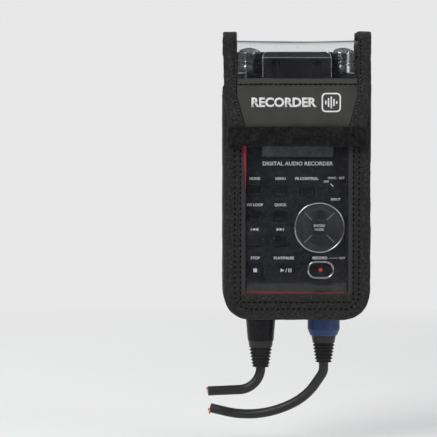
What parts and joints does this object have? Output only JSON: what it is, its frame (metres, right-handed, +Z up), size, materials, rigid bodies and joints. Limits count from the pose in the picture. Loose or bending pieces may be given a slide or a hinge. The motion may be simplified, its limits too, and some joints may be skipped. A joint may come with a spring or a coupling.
{
  "type": "portable field recorder",
  "caption": "Handheld field recorder with stub microphones, worn in a padded belt pouch with a clear window and fold-over flap, microphone leads plugged in below.",
  "frame": {"origin": "centre of the flat outer face of the belt loop on the pouch's back, where it lies against the wearer", "axes": "+Z up; +Y out of the back towards the wearer; the display and controls face -Y; +X to the right seen from the front"},
  "size_m": [0.1029, 0.0556, 0.2464],
  "materials": {
    "casing_black": "fine matt moulded grain",
    "key_black": "satin black",
    "lens_clear": "clear, lightly scratched",
    "display_grey": "unlit display",
    "board_blue": "printed circuit board",
    "board_green": "printed circuit board",
    "steel": "plain steel",
    "chrome_trim": "polished",
    "mic_silver": "fine ribbed",
    "socket_plastic": "smooth black",
    "cell_jacket": "printed sleeve",
    "speaker_black": "dark frame and cone",
    "card_plastic": "dark blue card",
    "pouch_cloth": "brushed felt-faced foam laminate",
    "lining_red": "red knitted lining",
    "film_clear": "soft clear vinyl",
    "binding_grey": "smooth folded tape",
    "webbing": "woven webbing",
    "loop_pile": "looped pile",
    "hook_tape": "hooked tape",
    "panel_grey": "dark grey coated cloth",
    "plug_black": "black lacquer",
    "ring_blue": "moulded blue",
    "boot_rubber": "ribbed rubber",
    "lead_jacket": "black cable jacket"
  },
  "bodies": {
    "recorder_in_pouch": {"front_casing": "casing_black", "rear_casing": "casing_black", "display_lens": "lens_clear", "display_panel": "display_grey", "main_board": "board_blue", "key_board": "board_green", "casing_screws": "steel", "mic_bridge": "casing_black", "mic_left": "mic_silver", "mic_right": "mic_silver", "xlr_sockets": "socket_plastic", "wheel_bezel": "chrome_trim", "record_bezel": "chrome_trim", "side_jacks": "socket_plastic", "batteries": "cell_jacket", "battery_contacts": "steel", "speaker": "speaker_black", "pouch_shell": "pouch_cloth", "pouch_lining": "lining_red", "front_panel": "pouch_cloth", "window_film": "film_clear", "window_binding": "binding_grey", "edge_binding": "webbing", "front_loop_strip": "loop_pile", "belt_loop": "webbing"},
    "flap": {"flap_frame": "pouch_cloth", "flap_window": "film_clear", "flap_panel": "panel_grey", "flap_band": "loop_pile", "flap_hook_strip": "hook_tape"},
    "record_key": {"record_button": "key_black"},
    "stop_key": {"stop_button": "key_black"},
    "play_key": {"play_button": "key_black"},
    "rewind_key": {"rewind_button": "key_black"},
    "forward_key": {"forward_button": "key_black"},
    "loop_key": {"loop_button": "key_black"},
    "quick_key": {"quick_button": "key_black"},
    "home_key": {"home_button": "key_black"},
    "menu_key": {"menu_button": "key_black"},
    "playback_key": {"playback_button": "key_black"},
    "jog": {"jog_wheel": "key_black"},
    "enter_key": {"enter_button": "key_black"},
    "selector": {"input_selector": "key_black"},
    "level_outer": {"level_dial_outer": "key_black"},
    "level_inner": {"level_dial_inner": "key_black"},
    "volume": {"volume_dial": "key_black"},
    "hold": {"hold_switch": "key_black"},
    "card_cover": {"card_door": "casing_black"},
    "card": {"memory_card": "card_plastic"},
    "battery_cover": {"battery_door": "casing_black"},
    "release_left": {"xlr_release_left": "steel"},
    "release_right": {"xlr_release_right": "steel"},
    "left_lead": {"plug_left": "plug_black", "boot_left": "boot_rubber", "lead_left": "lead_jacket"},
    "right_lead": {"plug_right": "plug_black", "colour_ring": "ring_blue", "boot_right": "boot_rubber", "lead_right": "lead_jacket"}
  },
  "joints": [
    {"name": "flap_lift", "type": "hinge", "parent": "recorder_in_pouch", "child": "flap", "pos_m": [0, -0.007, 0.0404], "axis": [-1, 0, 0], "range_deg": [0, 140]},
    {"name": "record_press", "type": "slide", "parent": "recorder_in_pouch", "child": "record_key", "axis": [0, 1, 0], "range_m": [0, 0.0005]},
    {"name": "stop_press", "type": "slide", "parent": "recorder_in_pouch", "child": "stop_key", "axis": [0, 1, 0], "range_m": [0, 0.0005]},
    {"name": "play_press", "type": "slide", "parent": "recorder_in_pouch", "child": "play_key", "axis": [0, 1, 0], "range_m": [0, 0.0005]},
    {"name": "rewind_press", "type": "slide", "parent": "recorder_in_pouch", "child": "rewind_key", "axis": [0, 1, 0], "range_m": [0, 0.0005]},
    {"name": "forward_press", "type": "slide", "parent": "recorder_in_pouch", "child": "forward_key", "axis": [0, 1, 0], "range_m": [0, 0.0005]},
    {"name": "loop_press", "type": "slide", "parent": "recorder_in_pouch", "child": "loop_key", "axis": [0, 1, 0], "range_m": [0, 0.0005]},
    {"name": "quick_press", "type": "slide", "parent": "recorder_in_pouch", "child": "quick_key", "axis": [0, 1, 0], "range_m": [0, 0.0005]},
    {"name": "home_press", "type": "slide", "parent": "recorder_in_pouch", "child": "home_key", "axis": [0, 1, 0], "range_m": [0, 0.0005]},
    {"name": "menu_press", "type": "slide", "parent": "recorder_in_pouch", "child": "menu_key", "axis": [0, 1, 0], "range_m": [0, 0.0005]},
    {"name": "playback_press", "type": "slide", "parent": "recorder_in_pouch", "child": "playback_key", "axis": [0, 1, 0], "range_m": [0, 0.0005]},
    {"name": "jog_spin", "type": "hinge", "parent": "recorder_in_pouch", "child": "jog", "pos_m": [0.0142, -0.0462, -0.0659], "axis": [0, 1, 0], "continuous": true},
    {"name": "enter_press", "type": "slide", "parent": "recorder_in_pouch", "child": "enter_key", "axis": [0, 1, 0], "range_m": [0, 0.0005]},
    {"name": "selector_turn", "type": "hinge", "parent": "recorder_in_pouch", "child": "selector", "pos_m": [0.024, -0.0462, -0.0413], "axis": [0, 1, 0], "range_deg": [0, 80]},
    {"name": "level_outer_turn", "type": "hinge", "parent": "recorder_in_pouch", "child": "level_outer", "pos_m": [0.04, -0.0287, -0.009], "axis": [1, 0, 0], "range_deg": [-140, 140]},
    {"name": "level_inner_turn", "type": "hinge", "parent": "recorder_in_pouch", "child": "level_inner", "pos_m": [0.04, -0.0287, -0.009], "axis": [1, 0, 0], "range_deg": [-140, 140]},
    {"name": "volume_turn", "type": "hinge", "parent": "recorder_in_pouch", "child": "volume", "pos_m": [-0.04, -0.0287, 0.007], "axis": [-1, 0, 0], "range_deg": [-140, 140]},
    {"name": "hold_slide", "type": "slide", "parent": "recorder_in_pouch", "child": "hold", "axis": [0, 0, 1], "range_m": [0, 0.004]},
    {"name": "card_cover_open", "type": "hinge", "parent": "recorder_in_pouch", "child": "card_cover", "pos_m": [-0.0391, -0.0287, -0.0676], "axis": [0, -1, 0], "range_deg": [0, 95]},
    {"name": "card_push", "type": "slide", "parent": "recorder_in_pouch", "child": "card", "axis": [1, 0, 0], "range_m": [0, 0.0008]},
    {"name": "battery_cover_slide", "type": "slide", "parent": "recorder_in_pouch", "child": "battery_cover", "axis": [0, 0, 1], "range_m": [0, 0.004]},
    {"name": "release_left_press", "type": "slide", "parent": "recorder_in_pouch", "child": "release_left", "axis": [0, 0, 1], "range_m": [0, 0.0015]},
    {"name": "release_right_press", "type": "slide", "parent": "recorder_in_pouch", "child": "release_right", "axis": [0, 0, 1], "range_m": [0, 0.0015]},
    {"name": "left_plug_pull", "type": "slide", "parent": "recorder_in_pouch", "child": "left_lead", "axis": [0, 0, -1], "range_m": [0, 0.018]},
    {"name": "right_plug_pull", "type": "slide", "parent": "recorder_in_pouch", "child": "right_lead", "axis": [0, 0, -1], "range_m": [0, 0.018]}
  ]
}
